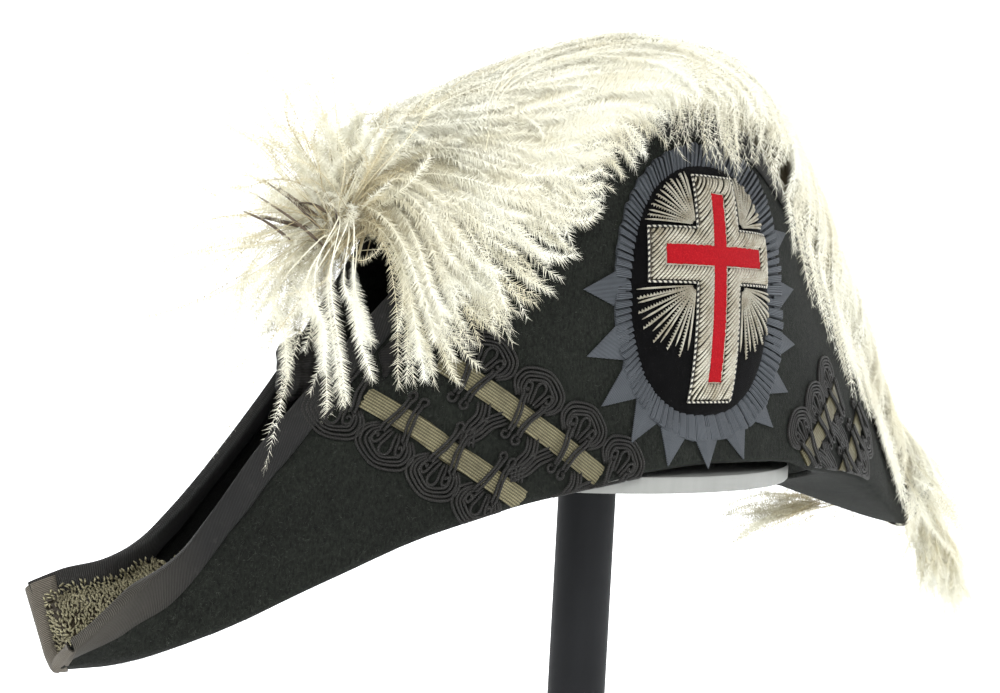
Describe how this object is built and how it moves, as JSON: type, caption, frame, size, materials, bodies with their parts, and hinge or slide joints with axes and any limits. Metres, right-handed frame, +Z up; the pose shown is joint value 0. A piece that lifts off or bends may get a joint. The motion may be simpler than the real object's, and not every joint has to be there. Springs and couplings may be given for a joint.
{
  "type": "plumed bicorne hat on post stand",
  "caption": "Fore-and-aft dress bicorne of black felt with a white feather plume, cross badge, lace and braid, resting on a plain post stand.",
  "frame": {"origin": "centre of the stand's underside, on the surface it stands on", "axes": "+X to the rear tip of the hat, -Y to the side with the badge, +Z up"},
  "size_m": [0.5203, 0.18, 0.412],
  "materials": {
    "black_felt": "matt fur felt",
    "black_ribbon": "ribbed ribbon",
    "slate_ribbon": "pleated ribbed ribbon",
    "black_velvet": "velvet",
    "silver_bullion": "metal thread embroidery",
    "red_felt": "matt",
    "tarnished_lace": "woven metal thread, tarnished",
    "black_cord": "glossy cord",
    "tarnished_bullion": "coiled metal thread, tarnished",
    "white_feather": "feather",
    "quill_horn": "dark horn",
    "pale_paint": "satin",
    "grey_paint": "satin"
  },
  "bodies": {
    "root": {"felt_brim": "black_felt", "felt_crown": "black_felt", "edge_binding_near": "black_ribbon", "edge_binding_far": "black_ribbon", "tip_binding_front": "black_ribbon", "tip_bullion_front": "tarnished_bullion", "tip_binding_rear": "black_ribbon", "tip_bullion_rear": "tarnished_bullion", "ribbon_points": "slate_ribbon", "pleated_ribbon": "slate_ribbon", "velvet_pad": "black_velvet", "silver_cross": "silver_bullion", "red_inlay": "red_felt", "rays_upper_front": "silver_bullion", "rays_upper_rear": "silver_bullion", "rays_lower_front": "silver_bullion", "rays_lower_rear": "silver_bullion", "lace_front_1": "tarnished_lace", "lace_front_2": "tarnished_lace", "braid_front_1": "black_cord", "braid_front_2": "black_cord", "braid_front_3": "black_cord", "lace_rear_1": "tarnished_lace", "lace_rear_2": "tarnished_lace", "braid_rear_1": "black_cord", "braid_rear_2": "black_cord", "braid_rear_3": "black_cord", "plume_mane": "white_feather", "plume_front": "white_feather", "plume_tail": "white_feather", "quill_upper": "quill_horn", "quill_lower": "quill_horn", "ribbon_knot": "black_ribbon", "ribbon_folds": "black_ribbon", "stand_plate": "pale_paint", "stand_post": "grey_paint", "stand_base": "grey_paint"}
  },
  "joints": []
}
